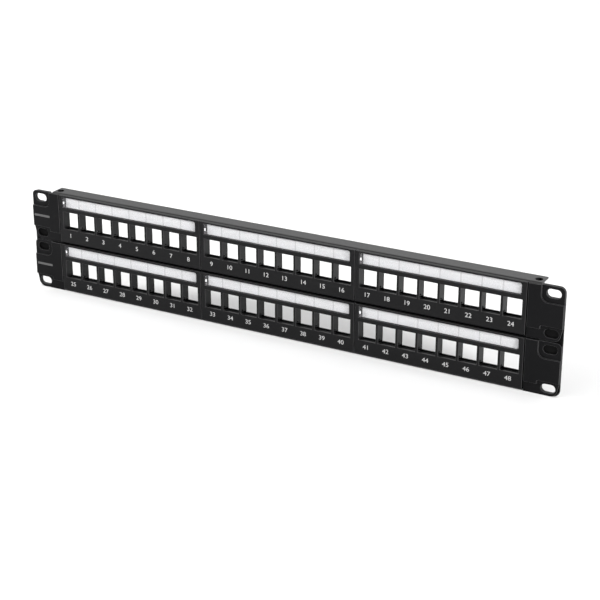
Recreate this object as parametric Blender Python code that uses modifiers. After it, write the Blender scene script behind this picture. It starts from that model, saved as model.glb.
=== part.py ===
"""A 48-port, two-unit patch panel for a 19-inch rack.

A bent steel chassis carries six snap-in bezels of eight ports each, every bezel with a paper
label strip behind a clear cover, and four moulded covers over the rack ears.
Metres, +Z up, front towards -Y. The origin is the middle of the underside.
"""
import bmesh
import bpy
import math
from mathutils import Matrix, Vector

MM = 0.001
GAP = 0.3 * MM
THROUGH = 5.0 * MM
TINY = 1e-6

# The 19-inch rack standard
PANEL_WIDTH = 482.6 * MM
PANEL_HEIGHT = 88.1 * MM
RACK_UNIT = 44.45 * MM
SLOT_SPACING = 465.1 * MM
SLOT_FROM_UNIT_MIDDLE = 15.875 * MM

# Depths, counted from the front face of the bezels
PANEL_DEPTH = 17.7 * MM
FRONT = -PANEL_DEPTH / 2
PLATE_FRONT = 3.0 * MM
SHEET = 1.5 * MM
PORT_DEPTH = 9.0 * MM
MOULDING_BACK = PLATE_FRONT - GAP

# Chassis
CHANNEL_WIDTH = 444.0 * MM
EAR_CORNER = 5.0 * MM
RELIEF_WIDTH = 1.5 * MM
RELIEF_HEIGHT = 3.5 * MM
BEND_RADIUS = 1.75 * MM
BEND_STEPS = 4
WINDOW_WIDTH = 138.0 * MM
WINDOW_BOTTOM = -18.9 * MM
WINDOW_TOP = 19.0 * MM
COLLAR_SPACING = 435.0 * MM
COLLAR_DEPTH = 10.0 * MM
COLLAR_BORE = 3.0 * MM
COLLAR_WALL = 1.1 * MM
COLLAR_HEIGHT = 3.5 * MM
SLOT_LENGTH = 11.5 * MM
SLOT_HEIGHT = 7.0 * MM

# Bezels, in a frame at the middle of the bezel's front face
BEZEL_COLUMNS = 3
BEZEL_PITCH = 141.717 * MM
BEZEL_WIDTH = 141.0 * MM
BEZEL_BOTTOM = -21.5 * MM
BEZEL_TOP = 21.7 * MM
BEZEL_CHIN = 2.4 * MM
BEZEL_EDGE = 0.5 * MM
BODY_WIDTH = WINDOW_WIDTH - 2 * GAP
BODY_BOTTOM = WINDOW_BOTTOM + GAP
BODY_TOP = WINDOW_TOP - GAP
BODY_WALL = 1.5 * MM
PORTS = 8
PORT_PITCH = 17.056 * MM
PORT_WIDTH = 14.9 * MM
PORT_SHIFT = 0.2 * MM
PORT_BOTTOM = -8.3 * MM
PORT_TOP = 7.2 * MM
SKIN = 1.5 * MM
REAR_LIP = 1.0 * MM
LIP_DROP = 0.6 * MM
GROOVE_DROP = 2.2 * MM
NOTCH_BACK = 4.2 * MM
NOTCH_TOP = 3.4 * MM
SLANT_FRONT = 1.2 * MM
SLANT_BACK = 0.4 * MM
LATCH_RISE = 1.6 * MM

# Label pocket, paper strip and clear cover, in the bezel's frame
POCKET_LEFT = -67.2 * MM
POCKET_RIGHT = 66.2 * MM
POCKET_BOTTOM = 10.8 * MM
POCKET_TOP = 20.1 * MM
POCKET_DEPTH = 2.3 * MM
POCKET_CORNER = 1.5 * MM
PAPER_LEFT = -64.5 * MM
PAPER_BACK = POCKET_DEPTH - GAP
PAPER_THICKNESS = 0.3 * MM
COVER_FRONT = 0.3 * MM
COVER_BACK = PAPER_BACK - PAPER_THICKNESS - GAP
TAB_MIDDLE = -65.9 * MM
TAB_WIDTH = 1.3 * MM
TAB_BOTTOM = 13.8 * MM
TAB_TOP = 16.8 * MM

# Ear covers, in a frame at the middle of their rack unit
END_COVER_INNER = 213.0 * MM
END_COVER_HEIGHT = 43.65 * MM
END_COVER_CORNER = 4.0 * MM
END_COVER_EDGE = 0.6 * MM
TAPER_START = -10.0 * MM
TAPER_WIDTH = 2.8 * MM
RECESS_DEPTH = 1.4 * MM
TOP_RECESS_LEFT = 223.2 * MM
TOP_RECESS_BOTTOM = 8.275 * MM
TOP_RECESS_CORNER = 5.5 * MM
LOW_RECESS_LEFT = 223.5 * MM
LOW_RECESS_TOP = -10.1 * MM
LOW_RECESS_CORNER = 1.5 * MM
FOOT_RECESS_TOP = -13.3 * MM

ALL_CORNERS = ((-1, -1), (-1, 1), (1, -1), (1, 1))
RIGHT_CORNERS = ((1, -1), (1, 1))
UNIT_NAMES = {1: "upper", -1: "lower"}
SIDE_NAMES = {1: "right", -1: "left"}


def clear_scene():
    for obj in list(bpy.data.objects):
        bpy.data.objects.remove(obj, do_unlink=True)


def new_collection(name):
    collection = bpy.data.collections.new(name)
    bpy.context.scene.collection.children.link(collection)
    return collection


def principled(name, colour, roughness, metallic=0.0, alpha=1.0):
    material = bpy.data.materials.new(name)
    material.use_nodes = True
    shader = material.node_tree.nodes["Principled BSDF"]
    shader.inputs["Base Color"].default_value = (*colour, 1.0)
    shader.inputs["Roughness"].default_value = roughness
    shader.inputs["Metallic"].default_value = metallic
    shader.inputs["Alpha"].default_value = alpha
    return material


def unit_middle(unit):
    """Height of the middle of the upper (1) or lower (-1) rack unit."""
    return PANEL_HEIGHT / 2 + unit * RACK_UNIT / 2


def add_box(bm, low, high):
    low = Vector(low)
    high = Vector(high)
    size = Matrix.Diagonal((*(high - low), 1.0))
    return bmesh.ops.create_cube(bm, size=1.0, matrix=Matrix.Translation((low + high) / 2) @ size)


def round_edges(bm, edges, radius, steps):
    bmesh.ops.bevel(bm, geom=edges, offset=radius, segments=steps, profile=0.5,
                    affect="EDGES", clamp_overlap=True)


def corner_edges(bm, corners):
    """The box edges that run front to back, at the corners given by the signs of x and z."""
    middle = sum((vert.co for vert in bm.verts), Vector()) / len(bm.verts)
    found = []
    for edge in bm.edges:
        along = edge.verts[1].co - edge.verts[0].co
        side = edge.verts[0].co - middle
        signs = (math.copysign(1, side.x), math.copysign(1, side.z))
        if abs(along.x) < TINY and abs(along.z) < TINY and signs in corners:
            found.append(edge)
    return found


def mesh_from(bm, name):
    bmesh.ops.recalc_face_normals(bm, faces=bm.faces)
    mesh = bpy.data.meshes.new(name)
    bm.to_mesh(mesh)
    bm.free()
    return mesh


def box_mesh(name, low, high, corners=(), radius=0.0, steps=4):
    bm = bmesh.new()
    add_box(bm, low, high)
    if corners:
        round_edges(bm, corner_edges(bm, corners), radius, steps)
    return mesh_from(bm, name)


def slot_mesh(name, across, up, front, back):
    """A slot with round ends, long across the panel."""
    low = (across - SLOT_LENGTH / 2, front, up - SLOT_HEIGHT / 2)
    high = (across + SLOT_LENGTH / 2, back, up + SLOT_HEIGHT / 2)
    return box_mesh(name, low, high, ALL_CORNERS, SLOT_HEIGHT / 2 - TINY * 100, 6)


def cylinder_mesh(name, radius, bottom, top, steps=24):
    bm = bmesh.new()
    bmesh.ops.create_cone(bm, cap_ends=True, segments=steps, radius1=radius, radius2=radius,
                          depth=top - bottom, matrix=Matrix.Translation((0, 0, (bottom + top) / 2)))
    return mesh_from(bm, name)


def add_tool(mesh, location=(0.0, 0.0, 0.0)):
    """A cutter or a piece to be joined, kept in the workshop collection."""
    tool = bpy.data.objects.new(mesh.name, mesh)
    tool.location = location
    tool.hide_render = True
    tool.display_type = "WIRE"
    workshop.objects.link(tool)
    return tool


def combine(target, mesh, operation, location=(0.0, 0.0, 0.0)):
    modifier = target.modifiers.new(mesh.name, "BOOLEAN")
    modifier.operation = operation
    modifier.solver = "EXACT"
    modifier.object = add_tool(mesh, location)


def finished_mesh(blank):
    """The blank with its modifiers applied, as one mesh that its copies share."""
    bpy.context.view_layer.update()
    depsgraph = bpy.context.evaluated_depsgraph_get()
    mesh = bpy.data.meshes.new_from_object(blank.evaluated_get(depsgraph))
    mesh.name = blank.name
    bpy.data.objects.remove(blank)
    return mesh


def add_part(name, mesh, material, location=(0.0, 0.0, 0.0), parent=None):
    """A sub-part at a place in its parent's frame, with its own material."""
    part = bpy.data.objects.new(name, mesh)
    if not mesh.materials:
        mesh.materials.append(None)
    part.material_slots[0].link = "OBJECT"
    part.material_slots[0].material = material
    part.location = location
    part.parent = parent
    parts.objects.link(part)
    return part


def channel_outline():
    """Middle line of the bent sheet, from the top flange's back edge to the bottom one's."""
    face = FRONT + PLATE_FRONT + SHEET / 2
    top = PANEL_HEIGHT - SHEET / 2
    half = [(PANEL_DEPTH / 2, top)]
    for step in range(BEND_STEPS + 1):
        angle = math.pi / 2 * (1 + step / BEND_STEPS)
        half.append((face + BEND_RADIUS * (1 + math.cos(angle)),
                     top - BEND_RADIUS * (1 - math.sin(angle))))
    return half + [(y, PANEL_HEIGHT - z) for y, z in reversed(half)]


def channel_mesh():
    """The C-section between the ears: its middle line drawn out sideways and made into sheet."""
    bm = bmesh.new()
    line = [bm.verts.new((-CHANNEL_WIDTH / 2, y, z)) for y, z in channel_outline()]
    edges = [bm.edges.new(pair) for pair in zip(line, line[1:])]
    grown = bmesh.ops.extrude_edge_only(bm, edges=edges)["geom"]
    moved = [item for item in grown if isinstance(item, bmesh.types.BMVert)]
    bmesh.ops.translate(bm, verts=moved, vec=(CHANNEL_WIDTH, 0.0, 0.0))
    blank = add_tool(mesh_from(bm, "channel"))
    sheet = blank.modifiers.new("sheet", "SOLIDIFY")
    sheet.thickness = SHEET
    sheet.offset = 0.0
    sheet.use_even_offset = True
    return finished_mesh(blank)


def face_plate_mesh():
    return box_mesh("chassis", (-PANEL_WIDTH / 2, FRONT + PLATE_FRONT, 0.0),
                    (PANEL_WIDTH / 2, FRONT + PLATE_FRONT + SHEET, PANEL_HEIGHT),
                    ALL_CORNERS, EAR_CORNER, 5)


def bend_strip_mesh(name, low, high):
    """The strip of the face plate that makes room for a bend and the relief cuts at its ends."""
    half = CHANNEL_WIDTH / 2 + RELIEF_WIDTH
    return box_mesh(name, (-half, FRONT, low), (half, FRONT + PORT_DEPTH, high))


def window_mesh():
    """One cutter for all six bezel windows."""
    bm = bmesh.new()
    for unit in (1, -1):
        for column in range(BEZEL_COLUMNS):
            middle = column_middle(column)
            add_box(bm, (middle - WINDOW_WIDTH / 2, FRONT, unit_middle(unit) + WINDOW_BOTTOM),
                    (middle + WINDOW_WIDTH / 2, FRONT + PORT_DEPTH, unit_middle(unit) + WINDOW_TOP))
    return mesh_from(bm, "windows")


def add_chassis(material):
    """Face plate with ears, windows and open rack slots, and two flanges with drawn holes."""
    chassis = add_part("chassis", face_plate_mesh(), material)
    top = PANEL_HEIGHT - RELIEF_HEIGHT
    combine(chassis, bend_strip_mesh("top_strip", top, PANEL_HEIGHT + THROUGH), "DIFFERENCE")
    combine(chassis, bend_strip_mesh("low_strip", -THROUGH, RELIEF_HEIGHT), "DIFFERENCE")
    combine(chassis, channel_mesh(), "UNION")
    combine(chassis, window_mesh(), "DIFFERENCE")
    for side in (-1, 1):
        for unit in (-1, 1):
            add_chassis_fixings(chassis, side, unit)


def add_chassis_fixings(chassis, side, unit):
    """The open slot and the drawn flange hole of one end of one rack unit."""
    place = SIDE_NAMES[side] + "_" + UNIT_NAMES[unit]
    height = unit_middle(unit) + unit * SLOT_FROM_UNIT_MIDDLE
    slot = slot_mesh("slot_" + place, side * SLOT_SPACING / 2, height, FRONT, PANEL_DEPTH / 2)
    combine(chassis, slot, "DIFFERENCE")
    outside = PANEL_HEIGHT / 2 + unit * PANEL_HEIGHT / 2
    tip = outside - unit * COLLAR_HEIGHT
    root = outside - unit * SHEET / 2
    location = (side * COLLAR_SPACING / 2, FRONT + COLLAR_DEPTH, 0.0)
    collar = cylinder_mesh("collar_" + place, COLLAR_BORE + COLLAR_WALL, min(tip, root), max(tip, root))
    combine(chassis, collar, "UNION", location)
    low = min(tip, outside) - THROUGH
    bore = cylinder_mesh("bore_" + place, COLLAR_BORE, low, low + COLLAR_HEIGHT + 2 * THROUGH)
    combine(chassis, bore, "DIFFERENCE", location)


def column_middle(column):
    return (column - (BEZEL_COLUMNS - 1) / 2) * BEZEL_PITCH


def port_middle(port):
    return (port - (PORTS - 1) / 2) * PORT_PITCH + PORT_SHIFT


def bezel_face_mesh():
    """The bezel's front plate, with a rounded chin and softened edges."""
    bm = bmesh.new()
    half = BEZEL_WIDTH / 2
    add_box(bm, (-half, 0.0, BEZEL_BOTTOM), (half, MOULDING_BACK, BEZEL_TOP))
    chin = [edge for edge in bm.edges
            if all(vert.co.y < TINY and vert.co.z < 0.0 for vert in edge.verts)]
    round_edges(bm, chin, BEZEL_CHIN, 4)
    top = [edge for edge in bm.edges
           if all(vert.co.y < TINY and vert.co.z > BEZEL_TOP - TINY for vert in edge.verts)]
    round_edges(bm, top, BEZEL_EDGE, 2)
    return mesh_from(bm, "port_bezel")


def port_cutter():
    bm = bmesh.new()
    for port in range(PORTS):
        middle = port_middle(port)
        add_box(bm, (middle - PORT_WIDTH / 2, -THROUGH, PORT_BOTTOM),
                (middle + PORT_WIDTH / 2, PORT_DEPTH + THROUGH, PORT_TOP))
    return mesh_from(bm, "ports")


def groove_cutter():
    """The groove behind the front skin that holds the jacks' feet.

    It runs through the ribs, which are notched and cut back at a slant so that a jack can tilt in.
    """
    bm = bmesh.new()
    left = port_middle(0) - PORT_WIDTH / 2
    right = port_middle(PORTS - 1) + PORT_WIDTH / 2
    back = PORT_DEPTH - REAR_LIP
    section = ((SKIN, -GROOVE_DROP), (back, -GROOVE_DROP), (back, SLANT_BACK),
               (NOTCH_BACK, SLANT_FRONT), (NOTCH_BACK, NOTCH_TOP), (SKIN, NOTCH_TOP))
    end = bm.faces.new([bm.verts.new((left, y, PORT_BOTTOM + z)) for y, z in section])
    grown = bmesh.ops.extrude_face_region(bm, geom=[end])["geom"]
    moved = [item for item in grown if isinstance(item, bmesh.types.BMVert)]
    bmesh.ops.translate(bm, verts=moved, vec=(right - left, 0.0, 0.0))
    return mesh_from(bm, "groove")


def latch_cutter():
    """Room over each port for its jack's latch, and the dip in the rear lip under it."""
    bm = bmesh.new()
    back = PORT_DEPTH + THROUGH
    for port in range(PORTS):
        left = port_middle(port) - PORT_WIDTH / 2
        right = port_middle(port) + PORT_WIDTH / 2
        add_box(bm, (left, 2 * SKIN, PORT_TOP - LATCH_RISE), (right, back, PORT_TOP + LATCH_RISE))
        add_box(bm, (left, 2 * SKIN, PORT_BOTTOM - LIP_DROP), (right, back, PORT_BOTTOM + LIP_DROP))
    return mesh_from(bm, "latches")


def relief_cutter():
    """Hollows in the back, which leave the moulding with even walls."""
    bm = bmesh.new()
    half = BODY_WIDTH / 2 - BODY_WALL
    back = PORT_DEPTH + THROUGH
    add_box(bm, (-half, POCKET_DEPTH + BODY_WALL, PORT_TOP + LATCH_RISE + BODY_WALL),
            (half, back, BODY_TOP - BODY_WALL))
    add_box(bm, (-half, BODY_WALL, BODY_BOTTOM + BODY_WALL),
            (half, back, PORT_BOTTOM - GROOVE_DROP - BODY_WALL))
    return mesh_from(bm, "reliefs")


def bezel_mesh():
    """Eight keystone ports behind a front plate, with a label pocket above them."""
    blank = add_tool(bezel_face_mesh())
    body = box_mesh("bezel_body", (-BODY_WIDTH / 2, MOULDING_BACK - 2 * GAP, BODY_BOTTOM),
                    (BODY_WIDTH / 2, PORT_DEPTH, BODY_TOP))
    combine(blank, body, "UNION")
    pocket = box_mesh("label_pocket", (POCKET_LEFT, -THROUGH, POCKET_BOTTOM),
                      (POCKET_RIGHT, POCKET_DEPTH, POCKET_TOP), RIGHT_CORNERS, POCKET_CORNER)
    for cutter in (port_cutter(), groove_cutter(), latch_cutter(), relief_cutter(), pocket):
        combine(blank, cutter, "DIFFERENCE")
    return finished_mesh(blank)


def paper_mesh():
    return box_mesh("label_strip", (PAPER_LEFT, PAPER_BACK - PAPER_THICKNESS, POCKET_BOTTOM + GAP),
                    (POCKET_RIGHT - GAP, PAPER_BACK, POCKET_TOP - GAP), RIGHT_CORNERS, POCKET_CORNER)


def label_cover_mesh():
    """Clear plate with a finger tab at its left end, with its origin on the right-hand hinge."""
    blank = add_tool(box_mesh("label_cover", (POCKET_LEFT + GAP, COVER_FRONT, POCKET_BOTTOM + GAP),
                              (POCKET_RIGHT - GAP, COVER_BACK, POCKET_TOP - GAP),
                              RIGHT_CORNERS, POCKET_CORNER))
    tab = box_mesh("finger_tab", (TAB_MIDDLE - TAB_WIDTH / 2, 0.0, TAB_BOTTOM),
                   (TAB_MIDDLE + TAB_WIDTH / 2, COVER_FRONT + GAP, TAB_TOP),
                   ALL_CORNERS, TAB_WIDTH / 3, 3)
    combine(blank, tab, "UNION")
    mesh = finished_mesh(blank)
    mesh.transform(Matrix.Translation((GAP - POCKET_RIGHT, -COVER_FRONT, 0.0)))
    return mesh


def end_cover_blank():
    """A right-hand ear cover for one rack unit, before its recesses. Its foot tapers outside."""
    half = END_COVER_HEIGHT / 2
    outer = PANEL_WIDTH / 2
    outline = ((END_COVER_INNER, -half), (outer - TAPER_WIDTH, -half), (outer, TAPER_START),
               (outer, half), (END_COVER_INNER, half))
    bm = bmesh.new()
    front = bm.faces.new([bm.verts.new((x, 0.0, z)) for x, z in outline])
    grown = bmesh.ops.extrude_face_region(bm, geom=[front])["geom"]
    moved = [item for item in grown if isinstance(item, bmesh.types.BMVert)]
    bmesh.ops.translate(bm, verts=moved, vec=(0.0, MOULDING_BACK, 0.0))
    bmesh.ops.recalc_face_normals(bm, faces=bm.faces)
    corners = [edge for edge in corner_edges(bm, RIGHT_CORNERS)
               if abs(edge.verts[0].co.z) > half - TINY]
    round_edges(bm, corners, END_COVER_CORNER, 4)
    rim = [edge for edge in bm.edges if all(vert.co.y < TINY for vert in edge.verts)]
    round_edges(bm, rim, END_COVER_EDGE, 2)
    return mesh_from(bm, "end_cover")


def end_cover_mesh(side):
    """Ear cover with a stepped face and two slots, mirrored for the left-hand side."""
    blank = add_tool(end_cover_blank())
    outer = PANEL_WIDTH / 2 + THROUGH
    reach = END_COVER_HEIGHT / 2 + THROUGH
    recesses = (
        box_mesh("top_recess", (TOP_RECESS_LEFT, -THROUGH, TOP_RECESS_BOTTOM),
                 (outer, RECESS_DEPTH, reach), ((-1, -1),), TOP_RECESS_CORNER, 5),
        box_mesh("low_recess", (LOW_RECESS_LEFT, -THROUGH, -reach),
                 (outer, RECESS_DEPTH, LOW_RECESS_TOP), ((-1, 1),), LOW_RECESS_CORNER, 3),
        box_mesh("foot_recess", (END_COVER_INNER - THROUGH, -THROUGH, -reach),
                 (TOP_RECESS_LEFT + THROUGH, RECESS_DEPTH, FOOT_RECESS_TOP)),
        slot_mesh("cover_slot_top", SLOT_SPACING / 2, SLOT_FROM_UNIT_MIDDLE, 0.0, THROUGH),
        slot_mesh("cover_slot_low", SLOT_SPACING / 2, -SLOT_FROM_UNIT_MIDDLE, 0.0, THROUGH),
    )
    for recess in recesses:
        combine(blank, recess, "DIFFERENCE")
    mesh = finished_mesh(blank)
    if side < 0:
        mesh.transform(Matrix.Diagonal((-1.0, 1.0, 1.0, 1.0)))
        mesh.flip_normals()
    return mesh


def add_bezels(moulding, paper, clear):
    """Six bezels, each carrying its label strip and its hinged label cover."""
    bezel_shape = bezel_mesh()
    paper_shape = paper_mesh()
    cover_shape = label_cover_mesh()
    hinge = (POCKET_RIGHT - GAP, COVER_FRONT, 0.0)
    for row, unit in enumerate((1, -1)):
        for column in range(BEZEL_COLUMNS):
            first = (row * BEZEL_COLUMNS + column) * PORTS + 1
            ports = str(first) + "_" + str(first + PORTS - 1)
            place = (column_middle(column), FRONT, unit_middle(unit))
            bezel = add_part("port_bezel_" + ports, bezel_shape, moulding, place)
            add_part("label_strip_" + ports, paper_shape, paper, parent=bezel)
            add_part("label_cover_" + ports, cover_shape, clear, hinge, bezel)


def add_end_covers(material):
    for side in (-1, 1):
        shape = end_cover_mesh(side)
        for unit in (1, -1):
            name = "end_cover_" + SIDE_NAMES[side] + "_" + UNIT_NAMES[unit]
            add_part(name, shape, material, (0.0, FRONT, unit_middle(unit)))


clear_scene()
parts = new_collection("patch_panel")
workshop = new_collection("patch_panel_cutters")
add_chassis(principled("powder_coated_steel", (0.035, 0.035, 0.037), 0.38))
add_bezels(principled("black_bezel_plastic", (0.016, 0.016, 0.018), 0.42),
           principled("label_paper", (0.88, 0.88, 0.88), 0.85),
           principled("clear_plastic", (0.95, 0.95, 0.95), 0.08, alpha=0.25))
add_end_covers(principled("black_cover_plastic", (0.014, 0.014, 0.016), 0.4))
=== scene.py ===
"""Looks of a two-unit, 48-port rack patch panel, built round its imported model.

Softened mouldings, powder-coated steel, paper labels behind clear covers, printed port numbers
and a plain studio. Metres, +Z up, front towards -Y.
"""

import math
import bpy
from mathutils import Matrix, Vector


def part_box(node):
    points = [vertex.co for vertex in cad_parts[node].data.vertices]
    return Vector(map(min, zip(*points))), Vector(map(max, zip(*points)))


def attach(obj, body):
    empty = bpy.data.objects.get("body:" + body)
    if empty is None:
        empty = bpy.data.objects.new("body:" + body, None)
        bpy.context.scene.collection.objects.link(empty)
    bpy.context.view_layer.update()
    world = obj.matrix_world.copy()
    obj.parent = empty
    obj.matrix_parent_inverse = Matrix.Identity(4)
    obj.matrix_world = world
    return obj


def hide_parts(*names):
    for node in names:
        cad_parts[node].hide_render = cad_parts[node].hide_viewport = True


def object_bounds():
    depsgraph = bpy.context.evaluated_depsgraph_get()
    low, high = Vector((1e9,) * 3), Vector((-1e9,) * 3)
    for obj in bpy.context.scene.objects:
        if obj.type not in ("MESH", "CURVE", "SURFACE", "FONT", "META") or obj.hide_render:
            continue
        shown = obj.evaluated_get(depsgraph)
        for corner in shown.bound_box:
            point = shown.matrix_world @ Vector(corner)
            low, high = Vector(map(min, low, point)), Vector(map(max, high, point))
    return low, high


bl_info = {
    "name": "Patch Panel Looks",
    "version": (1, 0, 0),
    "blender": (4, 5, 0),
    "location": "3D View > Sidebar > Patch Panel",
    "description": "Builds the visible mouldings, labels, numbers, steel and studio of a patch panel",
    "category": "Object",
}

import bmesh
import bpy
from bpy.props import FloatProperty, FloatVectorProperty, PointerProperty
from bpy.types import Operator, Panel, PropertyGroup
from mathutils import Matrix, Vector

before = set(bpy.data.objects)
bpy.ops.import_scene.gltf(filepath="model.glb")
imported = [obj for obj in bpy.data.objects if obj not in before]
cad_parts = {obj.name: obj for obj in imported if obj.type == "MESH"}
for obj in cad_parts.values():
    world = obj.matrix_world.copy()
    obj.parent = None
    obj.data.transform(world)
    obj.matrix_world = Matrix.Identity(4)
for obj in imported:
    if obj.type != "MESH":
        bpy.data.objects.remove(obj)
CAD_LOW, CAD_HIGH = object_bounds()

PORTS = 8
GROUPS = [name.removeprefix("port_bezel_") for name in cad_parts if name.startswith("port_bezel_")]
EARS = [name.removeprefix("end_cover_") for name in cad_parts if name.startswith("end_cover_")]
ROW_MIDDLES = {
    group: (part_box("port_bezel_" + group)[0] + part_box("port_bezel_" + group)[1]) / 2
    for group in GROUPS
}
FRONT = CAD_LOW.y
WELD = 1e-6
NODE_OFFSET = 0.0001       # the bezels' box middle lies this far above the rows' middle
TAB_PROUD = 0.00025
TAB_HALF = 0.0011
HAZY_SHARE = 0.28
HAZY_CLEARANCE = 0.0002
FACES_FRONT = -0.99
MARK_FROM_OUTER = 0.0018
MARK_FROM_INNER = 0.0105
MARK_HALF_HEIGHT = 0.001
MARK_CORNER = 0.0004
MARK_EDGE = 0.00001
RULE_COLOUR = (0.5, 0.5, 0.51)
RULE_SHARE = 0.06
FLAT_ANGLE = math.radians(1)
SHARP_ANGLE = math.radians(32)


# ---------------------------------------------------------------- shader maths

class Value:
    """A socket's value. Arithmetic on it adds Math nodes to its finish."""

    def __init__(self, finish, socket):
        self.finish = finish
        self.socket = socket

    def math(self, operation, first, second=0.0):
        return self.finish.add("ShaderNodeMath", {"operation": operation}, {0: first, 1: second})

    def __add__(self, other):
        return self.math("ADD", self, other)

    def __radd__(self, other):
        return self.math("ADD", other, self)

    def __sub__(self, other):
        return self.math("SUBTRACT", self, other)

    def __rsub__(self, other):
        return self.math("SUBTRACT", other, self)

    def __mul__(self, other):
        return self.math("MULTIPLY", self, other)

    def __rmul__(self, other):
        return self.math("MULTIPLY", other, self)

    def __gt__(self, other):
        return self.math("GREATER_THAN", self, other)

    def __lt__(self, other):
        return self.math("LESS_THAN", self, other)

    def __abs__(self):
        return self.math("ABSOLUTE", self)

    def fraction(self):
        return self.math("FRACT", self)

    def ramp(self, low, high):
        """0 up to low, 1 from high, and straight between them."""
        return self.finish.add("ShaderNodeMapRange", {"clamp": True},
                               {"Value": self, "From Min": low, "From Max": high})


class Finish:
    """A material built round one Principled shader."""

    def __init__(self, name):
        self.material = bpy.data.materials.new(name)
        self.material.use_nodes = True
        self.tree = self.material.node_tree
        self.shader = self.tree.nodes["Principled BSDF"]

    def feed(self, socket, value):
        if isinstance(value, Value):
            self.tree.links.new(value.socket, socket)
        else:
            socket.default_value = value

    def add(self, kind, settings, values, output=0):
        """Adds a node, applies its settings, then fills its sockets."""
        node = self.tree.nodes.new(kind)
        for key, setting in settings.items():
            setattr(node, key, setting)
        for key, value in values.items():
            self.feed(node.inputs[key], value)
        return Value(self, node.outputs[output])

    def place(self, stretch=(1.0, 1.0, 1.0)):
        point = self.add("ShaderNodeTexCoord", {}, {}, "Object")
        return self.add("ShaderNodeMapping", {}, {"Vector": point, "Scale": stretch})

    def noise(self, point, scale, detail=2.0, roughness=0.5):
        return self.add("ShaderNodeTexNoise", {}, {"Vector": point, "Scale": scale, "Detail": detail,
                                                   "Roughness": roughness})

    def mix(self, share, first, second):
        return self.add("ShaderNodeMix", {"data_type": "RGBA"}, {0: share, 6: first, 7: second}, 2)

    def bump(self, height, strength, distance):
        return self.add("ShaderNodeBump", {}, {"Height": height, "Strength": strength, "Distance": distance})

    def surface(self, **inputs):
        """Fills the shader's inputs, which are named with _ for their spaces."""
        for key, value in inputs.items():
            self.feed(self.shader.inputs[key.replace("_", " ")], value)
        return self.material


def rgb(colour):
    return (*colour, 1.0)


def lighter(colour, amount):
    return (*[channel + amount for channel in colour], 1.0)


def moulded_plastic(name, colour, roughness, grain, gloss):
    """Black moulded plastic: fine spark-eroded texture, uneven sheen and faint handling marks."""
    finish = Finish(name)
    point = finish.place()
    cloud = finish.noise(point, 24.0, 3.0)
    texture = finish.noise(point, grain, 2.0, 0.6)
    rub = finish.noise(finish.place((9.0, 9.0, 160.0)), 1.0, 4.0, 0.6).ramp(0.62, 0.74)
    dust = finish.noise(point, 900.0, 2.0).ramp(0.7, 0.78)
    tone = finish.mix(cloud * 0.6 + rub * 0.25, rgb(colour), lighter(colour, 0.006))
    tone = finish.mix(dust * 0.12, tone, (0.16, 0.16, 0.16, 1.0))
    sheen = cloud * 0.12 + texture * 0.08 - rub * 0.07 + (roughness - 0.1)
    return finish.surface(Base_Color=tone, Roughness=sheen, Normal=finish.bump(texture, 0.22, 0.00008),
                          Specular_IOR_Level=gloss)


def powder_coat(name, colour, roughness, gloss):
    """Satin powder coat on steel: a soft orange peel with finer specks in it."""
    finish = Finish(name)
    point = finish.place()
    peel = finish.noise(point, 620.0, 2.0)
    speck = finish.noise(point, 2400.0, 1.0)
    cloud = finish.noise(point, 14.0, 3.0)
    scratch = finish.noise(finish.place((7.0, 260.0, 60.0)), 1.0, 3.0).ramp(0.69, 0.76)
    tone = finish.mix(cloud * 0.5 + scratch * 0.2, rgb(colour), lighter(colour, 0.012))
    sheen = cloud * 0.1 + peel * 0.1 - scratch * 0.06 + (roughness - 0.08)
    height = peel + speck * 0.35
    return finish.surface(Base_Color=tone, Roughness=sheen, Normal=finish.bump(height, 0.3, 0.00010),
                          Specular_IOR_Level=gloss)


def label_paper(name, colour, line_colour, line_share):
    """White label stock with a thin grey rule at every port boundary."""
    finish = Finish(name)
    fibre = finish.noise(finish.place((600.0, 600.0, 1800.0)), 1.0, 4.0, 0.65)
    cloud = finish.noise(finish.place(), 40.0, 2.0)
    cells = finish.add("ShaderNodeSeparateXYZ", {}, {0: finish.add("ShaderNodeUVMap", {}, {})}, 0)
    rule = abs((cells + 0.5).fraction() - 0.5) < line_share / 2
    inside = (cells > 0.5) * (cells < PORTS - 0.5)
    paper = finish.mix(fibre * 0.10 + cloud * 0.10, rgb(colour), lighter(colour, -0.16))
    tone = finish.mix(rule * inside * 0.85, paper, rgb(line_colour))
    return finish.surface(Base_Color=tone, Roughness=0.82 + fibre * 0.1,
                          Normal=finish.bump(fibre, 0.12, 0.00005), Specular_IOR_Level=0.25)


def clear_plastic(name, colour, alpha, roughness):
    """Clear strip, or a near-white one used as a painted glint, with a faint haze of fine scratches."""
    finish = Finish(name)
    haze = finish.noise(finish.place((14.0, 90.0, 420.0)), 1.0, 4.0, 0.6).ramp(0.56, 0.78)
    return finish.surface(Base_Color=rgb(colour), Roughness=roughness + haze * 0.12,
                          Alpha=alpha + haze * 0.03, Specular_IOR_Level=0.5)


def print_ink(name, colour):
    """Pad-printed ink, a little uneven where the texture under it takes less."""
    finish = Finish(name)
    grain = finish.noise(finish.place(), 2600.0, 2.0)
    tone = finish.mix(grain.ramp(0.35, 0.7) * 0.35, rgb(colour), rgb([channel * 0.6 for channel in colour]))
    return finish.surface(Base_Color=tone, Roughness=0.45 + grain * 0.15, Specular_IOR_Level=0.4)


def pale_floor(name, colour):
    finish = Finish(name)
    cloud = finish.noise(finish.place(), 3.0, 2.0)
    return finish.surface(Base_Color=finish.mix(cloud, rgb(colour), lighter(colour, -0.01)),
                          Roughness=0.9, Specular_IOR_Level=0.1)


# ---------------------------------------------------------------- shapes

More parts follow.
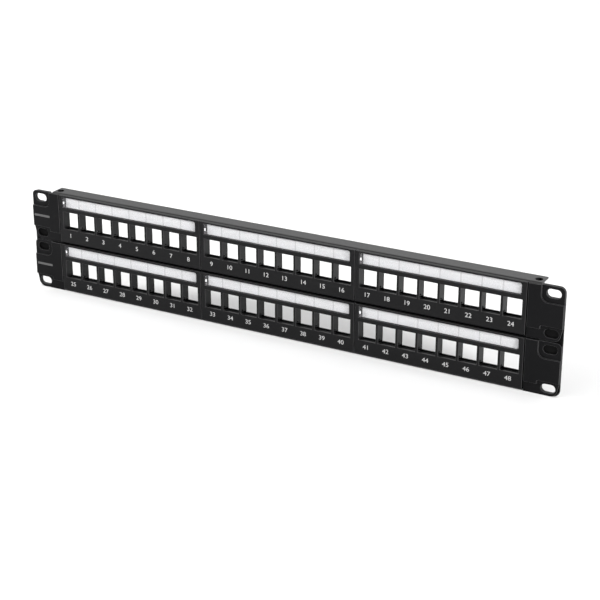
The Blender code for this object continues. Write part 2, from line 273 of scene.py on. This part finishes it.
def welded(node):
    """The node's shape with its loose triangles welded and joined in flat pairs."""
    bm = bmesh.new()
    bm.from_mesh(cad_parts[node].data)
    bmesh.ops.remove_doubles(bm, verts=bm.verts, dist=WELD)
    bmesh.ops.join_triangles(bm, faces=bm.faces, angle_face_threshold=FLAT_ANGLE,
                             angle_shape_threshold=math.pi)
    return bm


def soften(bm, width, segments=2):
    """Rounds every sharp edge by width, and gives the rounded strips the second material, which on the
    mouldings is lighter: edge wear and a painted highlight.
    """
    edges = [edge for edge in bm.edges if edge.is_manifold and edge.calc_face_angle() > SHARP_ANGLE]
    rounded = bmesh.ops.bevel(bm, geom=edges, offset=width, offset_type="OFFSET", affect="EDGES",
                              segments=segments, profile=0.5, material=-1, clamp_overlap=False,
                              loop_slide=False)["faces"]
    for face in rounded:
        face.material_index = 1
    return bm


def rounded_bar(bm, low, high, radius, edge):
    """A flat bar facing front, its outline rounded by radius and its front edge by edge."""
    low = Vector(low)
    high = Vector(high)
    size = Matrix.Diagonal((*(high - low), 1.0))
    place = Matrix.Translation((low + high) / 2) @ size
    bmesh.ops.create_cube(bm, size=1.0, matrix=place)
    corners = [side for side in bm.edges if abs(side.verts[0].co.y - side.verts[1].co.y) > WELD]
    bmesh.ops.bevel(bm, geom=corners, offset=radius, segments=5, profile=0.5, affect="EDGES",
                    material=-1, clamp_overlap=True)
    outline = [side for side in bm.edges if all(abs(vert.co.y - low.y) < WELD for vert in side.verts)]
    bmesh.ops.bevel(bm, geom=outline, offset=edge, segments=2, profile=0.5, affect="EDGES",
                    material=-1, clamp_overlap=True)


def add_piece(name, bm, materials, body, replaces=None):
    """Turns a bmesh into a shown piece that rides on a body."""
    for face in bm.faces:
        face.smooth = True
    mesh = bpy.data.meshes.new(name)
    bm.to_mesh(mesh)
    bm.free()
    mesh.set_sharp_from_angle(angle=SHARP_ANGLE * 1.25)
    for material in materials:
        mesh.materials.append(material)
    piece = bpy.data.objects.new(name, mesh)
    bpy.context.scene.collection.objects.link(piece)
    weighted = piece.modifiers.new("flat faces stay flat", "WEIGHTED_NORMAL")
    weighted.keep_sharp = True
    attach(piece, body)
    if replaces:
        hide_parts(replaces)
    return piece


def text_mesh(words):
    """The words as a flat mesh in the XY plane, one unit of type size high, centred on X."""
    curve = bpy.data.curves.new("type", "FONT")
    curve.body = words
    curve.align_x = "CENTER"
    writer = bpy.data.objects.new("type", curve)
    bpy.context.scene.collection.objects.link(writer)
    bpy.context.view_layer.update()
    mesh = bpy.data.meshes.new_from_object(writer.evaluated_get(bpy.context.evaluated_depsgraph_get()))
    bpy.data.objects.remove(writer)
    return mesh


def first_port(group):
    return int(group.split("_")[0])


# ---------------------------------------------------------------- settings

class MouldingSettings(PropertyGroup):
    """Black plastic mouldings."""
    bezel_colour: FloatVectorProperty(name="Bezel colour", description="Base colour of the port bezels",
                                      subtype="COLOR", default=(0.004, 0.004, 0.0045))
    cover_colour: FloatVectorProperty(name="Ear cover colour", description="Base colour of the ear covers",
                                      subtype="COLOR", default=(0.004, 0.004, 0.0045))
    edge_wear_highlight_colour: FloatVectorProperty(name="Edge wear and highlight colour", description="Colour of the worn edges, lightened as a painted highlight",
                                     subtype="COLOR", default=(0.04, 0.04, 0.041))
    edge: FloatProperty(name="Edge radius", description="Rounding of the moulded edges",
                        unit="LENGTH", default=0.00018)


class SteelSettings(PropertyGroup):
    """Powder-coated chassis."""
    colour: FloatVectorProperty(name="Colour", description="Powder coat colour", subtype="COLOR",
                                default=(0.008, 0.008, 0.0085))
    # Much darker than the coat: painted shade on the face plate's front, so the blind slots read dark; the
    # real sheet is one coat.
    painted_shade_colour: FloatVectorProperty(name="Face plate painted shade", subtype="COLOR",
                                       description="Painted shade on the face plate behind the mouldings",
                                       default=(0.0015, 0.0015, 0.0016))
    edge: FloatProperty(name="Edge radius", description="Rounding of the sheet's cut edges",
                        unit="LENGTH", default=0.00015)


class LabelSettings(PropertyGroup):
    """Paper labels, their clear covers and the printed numbers."""
    paper_colour: FloatVectorProperty(name="Paper", description="Label paper colour", subtype="COLOR",
                                      default=(0.70, 0.70, 0.71))
    ink_colour: FloatVectorProperty(name="Ink", description="Colour of the numbers",
                                    subtype="COLOR", default=(0.55, 0.55, 0.55))
    tab_rise: FloatProperty(name="Tab height", description="From the row's middle to the covers' finger tabs",
                            unit="LENGTH", default=0.0153)
    port_pitch: FloatProperty(name="Port pitch", description="Distance between neighbouring ports",
                              unit="LENGTH", default=0.017056)
    port_shift: FloatProperty(name="Port shift", description="Offset of the ports from the bezel's middle",
                              unit="LENGTH", default=0.0002)
    mark_colour: FloatVectorProperty(name="Ear mark", description="Colour of the bars on the left ears",
                                     subtype="COLOR", default=(0.09, 0.09, 0.09))
    number_height: FloatProperty(name="Number height", description="Height of the printed digits",
                                 unit="LENGTH", default=0.0036)
    number_drop: FloatProperty(name="Number drop", description="From the row's middle to the digits' foot",
                               unit="LENGTH", default=0.0153)
    number_shift: FloatProperty(name="Number shift", description="Offset of the digits from their port",
                                unit="LENGTH", default=-0.0007)
    number_width: FloatProperty(name="Number width", description="Width of the digits against their type",
                                subtype="FACTOR", default=1.06)
    ink_depth: FloatProperty(name="Ink thickness", description="How far the print stands off the plastic",
                             unit="LENGTH", default=0.00002)


class StageSettings(PropertyGroup):
    """Camera, lights and floor."""
    distance: FloatProperty(name="Distance", description="From the camera to its aim", unit="LENGTH",
                            default=1.25003)
    azimuth: FloatProperty(name="Azimuth", description="Camera angle to the right of the front",
                           subtype="ANGLE", default=math.radians(28.748))
    elevation: FloatProperty(name="Elevation", description="Camera angle above the horizon",
                             subtype="ANGLE", default=math.radians(22.031))
    lens: FloatProperty(name="Lens", description="Focal length in millimetres", default=94.01)
    aim: FloatVectorProperty(name="Aim", description="Point in the middle of the picture", subtype="XYZ",
                             default=(0.02235, FRONT, CAD_HIGH.z / 2 - 0.00701))
    floor_colour: FloatVectorProperty(name="Floor", description="Floor colour", subtype="COLOR",
                                      default=(0.9, 0.9, 0.9))
    back_room: FloatProperty(name="Room behind", description="Brightness of the room behind the panel",
                             default=1.2)
    front_room: FloatProperty(name="Room in front", default=0.12,
                              description="Brightness of the room in front of the panel")
    floor_size: FloatProperty(name="Floor size", description="Side of the square floor", unit="LENGTH",
                              default=12.0)


# ---------------------------------------------------------------- operators

class PATCHPANEL_OT_chassis(Operator):
    """Build the powder-coated sheet-steel chassis"""
    bl_idname = "patchpanel.chassis"
    bl_label = "Chassis"

    def execute(self, context):
        steel = context.scene.patch_panel_steel
        coat = powder_coat("powder_coated_steel", steel.colour, 0.40, 0.34)
        # A darker, matter coat for the face plate's front: painted shade that darkens the blind slots.
        painted_shade_coat = powder_coat("painted_shade_front_coat", steel.painted_shade_colour, 0.6, 0.05)
        shape = soften(welded("chassis"), steel.edge)
        # Faces turned to the front take the painted-shade coat.
        for face in shape.faces:
            face.material_index = int(face.normal.y < FACES_FRONT)
        add_piece("chassis_sheet", shape, (coat, painted_shade_coat), "chassis", "chassis")
        return {"FINISHED"}


class PATCHPANEL_OT_bezels(Operator):
    """Build the six port bezels"""
    bl_idname = "patchpanel.bezels"
    bl_label = "Port Bezels"

    def execute(self, context):
        moulding = context.scene.patch_panel_moulding
        plastic = moulded_plastic("black_bezel_plastic", moulding.bezel_colour, 0.42, 2600.0, 0.15)
        # Rounded edges lighter than the body: partly edge wear, partly a painted highlight.
        worn_highlit = moulded_plastic("worn_highlit_bezel_edge", moulding.edge_wear_highlight_colour, 0.36, 2600.0, 0.5)
        for group in GROUPS:
            shape = soften(welded("port_bezel_" + group), moulding.edge)
            add_piece("bezel_moulding_" + group, shape, (plastic, worn_highlit), "bezel_" + group,
                      "port_bezel_" + group)
        return {"FINISHED"}


class PATCHPANEL_OT_end_covers(Operator):
    """Build the four covers over the rack ears"""
    bl_idname = "patchpanel.end_covers"
    bl_label = "Ear Covers"

    def execute(self, context):
        moulding = context.scene.patch_panel_moulding
        plastic = moulded_plastic("black_cover_plastic", moulding.cover_colour, 0.40, 2200.0, 0.07)
        # Rounded edges lighter than the body: partly edge wear, partly a painted highlight.
        worn_highlit = moulded_plastic("worn_highlit_cover_edge", moulding.edge_wear_highlight_colour, 0.36, 2200.0, 0.5)
        for ear in EARS:
            shape = soften(welded("end_cover_" + ear), moulding.edge)
            add_piece("ear_moulding_" + ear, shape, (plastic, worn_highlit), "chassis",
                      "end_cover_" + ear)
        return {"FINISHED"}


class PATCHPANEL_OT_labels(Operator):
    """Build the ruled paper strip of each bezel"""
    bl_idname = "patchpanel.labels"
    bl_label = "Paper Labels"

    def execute(self, context):
        labels = context.scene.patch_panel_labels
        paper = label_paper("label_paper", labels.paper_colour, RULE_COLOUR, RULE_SHARE)
        for group in GROUPS:
            shape = welded("label_strip_" + group)
            uv = shape.loops.layers.uv.new("cells")
            start = ROW_MIDDLES[group].x + labels.port_shift - labels.port_pitch * PORTS / 2
            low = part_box("label_strip_" + group)[0]
            for face in shape.faces:
                for loop in face.loops:
                    point = loop.vert.co
                    loop[uv].uv = ((point.x - start) / labels.port_pitch,
                                   (point.z - low.z) / labels.port_pitch)
            add_piece("paper_label_" + group, shape, (paper,), "bezel_" + group,
                      "label_strip_" + group)
        return {"FINISHED"}


class PATCHPANEL_OT_label_covers(Operator):
    """Build the hinged clear cover of each label, its finger tab near-white as a painted glint"""
    bl_idname = "patchpanel.label_covers"
    bl_label = "Label Covers"

    def execute(self, context):
        labels = context.scene.patch_panel_labels
        clear = clear_plastic("clear_cover_plastic", (0.5, 0.5, 0.52), 0.09, 0.06)
        # Near-white, nearly opaque tab: a painted glint in place of the highlight on the clear tab.
        painted_glint = clear_plastic("painted_glint_tab_plastic", (0.85, 0.85, 0.86), 0.95, 0.25)
        hazy = clear_plastic("hazy_end_plastic", (0.2, 0.19, 0.2), 0.45, 0.3)
        for group in GROUPS:
            shape = welded("label_cover_" + group)
            low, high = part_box("label_cover_" + group)
            paper_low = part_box("label_strip_" + group)[0]
            foot = low.z + (high.z - low.z) * HAZY_SHARE
            tab = ROW_MIDDLES[group].z - NODE_OFFSET + labels.tab_rise
            hazy_end = paper_low.x - HAZY_CLEARANCE
            cuts = [((hazy_end, 0, 0), (1, 0, 0))]
            cuts += [((0, 0, height), (0, 0, 1)) for height in (foot, tab - TAB_HALF, tab + TAB_HALF)]
            for point, normal in cuts:
                bmesh.ops.bisect_plane(shape, geom=shape.verts[:] + shape.edges[:] + shape.faces[:],
                                       plane_co=point, plane_no=normal)
            soften(shape, context.scene.patch_panel_moulding.edge / 2)
            for face in shape.faces:
                middle = face.calc_center_median()
                face.material_index = 0
                # The finger tab's front takes the painted-glint material.
                if middle.y < low.y + TAB_PROUD and abs(middle.z - tab) < TAB_HALF:
                    face.material_index = 1
                elif middle.x < hazy_end and middle.z < foot:
                    face.material_index = 2
            add_piece("clear_cover_" + group, shape, (clear, painted_glint, hazy), "label_cover_" + group,
                      "label_cover_" + group)
        return {"FINISHED"}


class PATCHPANEL_OT_numbers(Operator):
    """Print the port numbers under the ports"""
    bl_idname = "patchpanel.numbers"
    bl_label = "Port Numbers"

    def execute(self, context):
        labels = context.scene.patch_panel_labels
        ink = print_ink("number_ink", labels.ink_colour)
        tall = max(vert.co.y for vert in text_mesh("1").vertices)
        size = labels.number_height / tall
        for group in GROUPS:
            bm = bmesh.new()
            middle = ROW_MIDDLES[group]
            foot = middle.z - NODE_OFFSET - labels.number_drop
            for port in range(PORTS):
                across = middle.x + labels.port_shift + (port - (PORTS - 1) / 2) * labels.port_pitch
                across += labels.number_shift
                spot = Matrix.Translation((across, FRONT - labels.ink_depth, foot))
                stand = Matrix.Rotation(math.pi / 2, 4, "X")
                scale = Matrix.Diagonal((size * labels.number_width, size, size, 1.0))
                digits = text_mesh(str(first_port(group) + port))
                digits.transform(spot @ stand @ scale)
                bm.from_mesh(digits)
            bmesh.ops.solidify(bm, geom=bm.faces, thickness=labels.ink_depth * 2)
            add_piece("number_print_" + group, bm, (ink,), "bezel_" + group)
        return {"FINISHED"}


class PATCHPANEL_OT_ear_marks(Operator):
    """Print a plain bar on each left ear cover"""
    bl_idname = "patchpanel.ear_marks"
    bl_label = "Ear Marks"

    def execute(self, context):
        labels = context.scene.patch_panel_labels
        ink = print_ink("mark_ink", labels.mark_colour)
        for ear in EARS:
            low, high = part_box("end_cover_" + ear)
            if low.x > 0:
                continue
            middle = (low.z + high.z) / 2
            bm = bmesh.new()
            rounded_bar(bm, (low.x + MARK_FROM_OUTER, FRONT - labels.ink_depth, middle - MARK_HALF_HEIGHT),
                        (high.x - MARK_FROM_INNER, FRONT + labels.ink_depth, middle + MARK_HALF_HEIGHT),
                        MARK_CORNER, MARK_EDGE)
            add_piece("ear_mark_" + ear, bm, (ink,), "chassis")
        return {"FINISHED"}


class PATCHPANEL_OT_stage(Operator):
    """Set up the floor, the lights and the camera"""
    bl_idname = "patchpanel.stage"
    bl_label = "Stage"

    def execute(self, context):
        stage = context.scene.patch_panel_stage
        self.add_floor(stage)
        self.add_world(context.scene, stage)
        self.add_softbox("strip", (-1.0, -0.9, 1.95), (0.0, 0.0, 0.04), (3.0, 0.4), 16.0)
        self.add_softbox("far floor", (-0.5, 1.9, 1.7), (-0.5, 2.0, 0.0), (1.6, 1.6), 12.0)
        for side in (-1, 1):
            key = self.add_softbox("key", (side * 2.15, -0.77, 0.74), (0.0, 0.0, 0.0), (0.5, 0.5), 63.0)
            key.visible_glossy = False
        self.add_camera(context.scene, stage)
        context.scene.view_settings.view_transform = "Standard"
        return {"FINISHED"}

    def add_floor(self, stage):
        bm = bmesh.new()
        bmesh.ops.create_grid(bm, x_segments=2, y_segments=2, size=stage.floor_size / 2)
        mesh = bpy.data.meshes.new("floor")
        bm.to_mesh(mesh)
        bm.free()
        mesh.materials.append(pale_floor("pale_floor", stage.floor_colour))
        floor = bpy.data.objects.new("floor", mesh)
        bpy.context.scene.collection.objects.link(floor)

    def add_world(self, scene, stage):
        """A room that is bright behind the panel and dim in front of it."""
        world = bpy.data.worlds.new("studio")
        world.use_nodes = True
        tree = world.node_tree
        direction = tree.nodes.new("ShaderNodeTexCoord").outputs["Generated"]
        split = tree.nodes.new("ShaderNodeSeparateXYZ")
        tree.links.new(direction, split.inputs[0])
        spread = tree.nodes.new("ShaderNodeMapRange")
        spread.interpolation_type = "SMOOTHSTEP"
        for key, value in {"From Min": -0.35, "From Max": 0.75, "To Min": stage.front_room,
                           "To Max": stage.back_room}.items():
            spread.inputs[key].default_value = value
        tree.links.new(split.outputs["Y"], spread.inputs["Value"])
        backdrop = tree.nodes["Background"]
        backdrop.inputs["Color"].default_value = (1.0, 1.0, 1.0, 1.0)
        tree.links.new(spread.outputs["Result"], backdrop.inputs["Strength"])
        scene.world = world

    def add_softbox(self, name, place, aim, size, power):
        light = bpy.data.lights.new(name, "AREA")
        light.shape = "RECTANGLE"
        light.size, light.size_y = size
        light.energy = power
        lamp = bpy.data.objects.new(name, light)
        lamp.location = place
        lamp.rotation_euler = (Vector(aim) - Vector(place)).to_track_quat("-Z", "Y").to_euler()
        bpy.context.scene.collection.objects.link(lamp)
        return lamp

    def add_camera(self, scene, stage):
        camera = bpy.data.cameras.new("camera")
        camera.lens = stage.lens
        camera.sensor_width = 36.0
        back = Vector((math.sin(stage.azimuth) * math.cos(stage.elevation),
                       -math.cos(stage.azimuth) * math.cos(stage.elevation), math.sin(stage.elevation)))
        eye = bpy.data.objects.new("camera", camera)
        eye.location = Vector(stage.aim) + back * stage.distance
        eye.rotation_euler = (-back).to_track_quat("-Z", "Y").to_euler()
        scene.collection.objects.link(eye)
        scene.camera = eye


class PATCHPANEL_PT_sidebar(Panel):
    """Lists the pieces and their settings"""
    bl_label = "Patch Panel"
    bl_idname = "PATCHPANEL_PT_sidebar"
    bl_space_type = "VIEW_3D"
    bl_region_type = "UI"
    bl_category = "Patch Panel"

    def draw(self, context):
        for builder in BUILDERS:
            self.layout.operator(builder.bl_idname)
        for name in SETTINGS:
            group = getattr(context.scene, name)
            box = self.layout.box()
            for key in group.bl_rna.properties.keys():
                if key not in ("rna_type", "name"):
                    box.prop(group, key)


BUILDERS = (
    PATCHPANEL_OT_chassis,
    PATCHPANEL_OT_bezels,
    PATCHPANEL_OT_end_covers,
    PATCHPANEL_OT_labels,
    PATCHPANEL_OT_label_covers,
    PATCHPANEL_OT_numbers,
    PATCHPANEL_OT_ear_marks,
    PATCHPANEL_OT_stage,
)
SETTINGS = {
    "patch_panel_moulding": MouldingSettings,
    "patch_panel_steel": SteelSettings,
    "patch_panel_labels": LabelSettings,
    "patch_panel_stage": StageSettings,
}


def register():
    for cls in (*SETTINGS.values(), *BUILDERS, PATCHPANEL_PT_sidebar):
        bpy.utils.register_class(cls)
    for name, cls in SETTINGS.items():
        setattr(bpy.types.Scene, name, PointerProperty(type=cls))


def unregister():
    for name in SETTINGS:
        delattr(bpy.types.Scene, name)
    for cls in reversed((*SETTINGS.values(), *BUILDERS, PATCHPANEL_PT_sidebar)):
        bpy.utils.unregister_class(cls)


def main():
    register()
    for builder in BUILDERS:
        group, action = builder.bl_idname.split(".")
        getattr(getattr(bpy.ops, group), action)()


if __name__ == "__main__":
    main()
